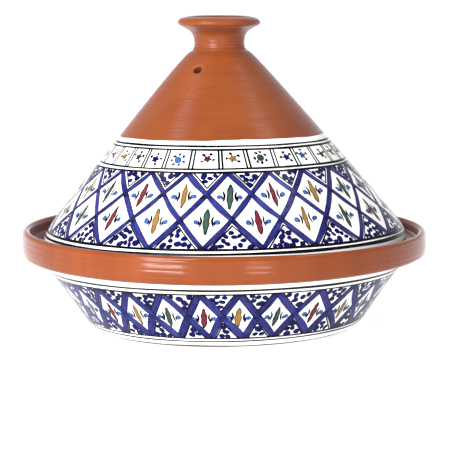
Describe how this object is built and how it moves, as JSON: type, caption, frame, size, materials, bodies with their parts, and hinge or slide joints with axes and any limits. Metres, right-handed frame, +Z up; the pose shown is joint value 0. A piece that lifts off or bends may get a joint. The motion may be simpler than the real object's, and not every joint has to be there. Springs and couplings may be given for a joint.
{
  "type": "tagine pot",
  "caption": "Glazed earthenware cooking pot: a flared dish on a turned foot with a thick raised collar, and a tall hand-painted conical lid with a steam vent and a cup-shaped knob.",
  "frame": {"origin": "centre of the foot ring, on the surface that the pot stands on", "axes": "+Z up along the pot's axis; -Y is the front, with the steam vent high on the front left"},
  "size_m": [0.3, 0.3, 0.228],
  "materials": {
    "white_glaze": "glossy white tin glaze with painted cobalt lattice",
    "collar_glaze": "glossy clear glaze over terracotta",
    "lid_glaze": "glossy white tin glaze with painted bands, clear glaze over terracotta towards the top",
    "knob_glaze": "glossy clear glaze over terracotta"
  },
  "bodies": {
    "base": {"base_bowl": "white_glaze", "rim_collar": "collar_glaze"},
    "lid": {"lid_cone": "lid_glaze", "lid_knob": "knob_glaze"}
  },
  "joints": [
    {"name": "lid_lift", "type": "slide", "parent": "base", "child": "lid", "axis": [0, 0, 1], "range_m": [0, 0.2]}
  ]
}
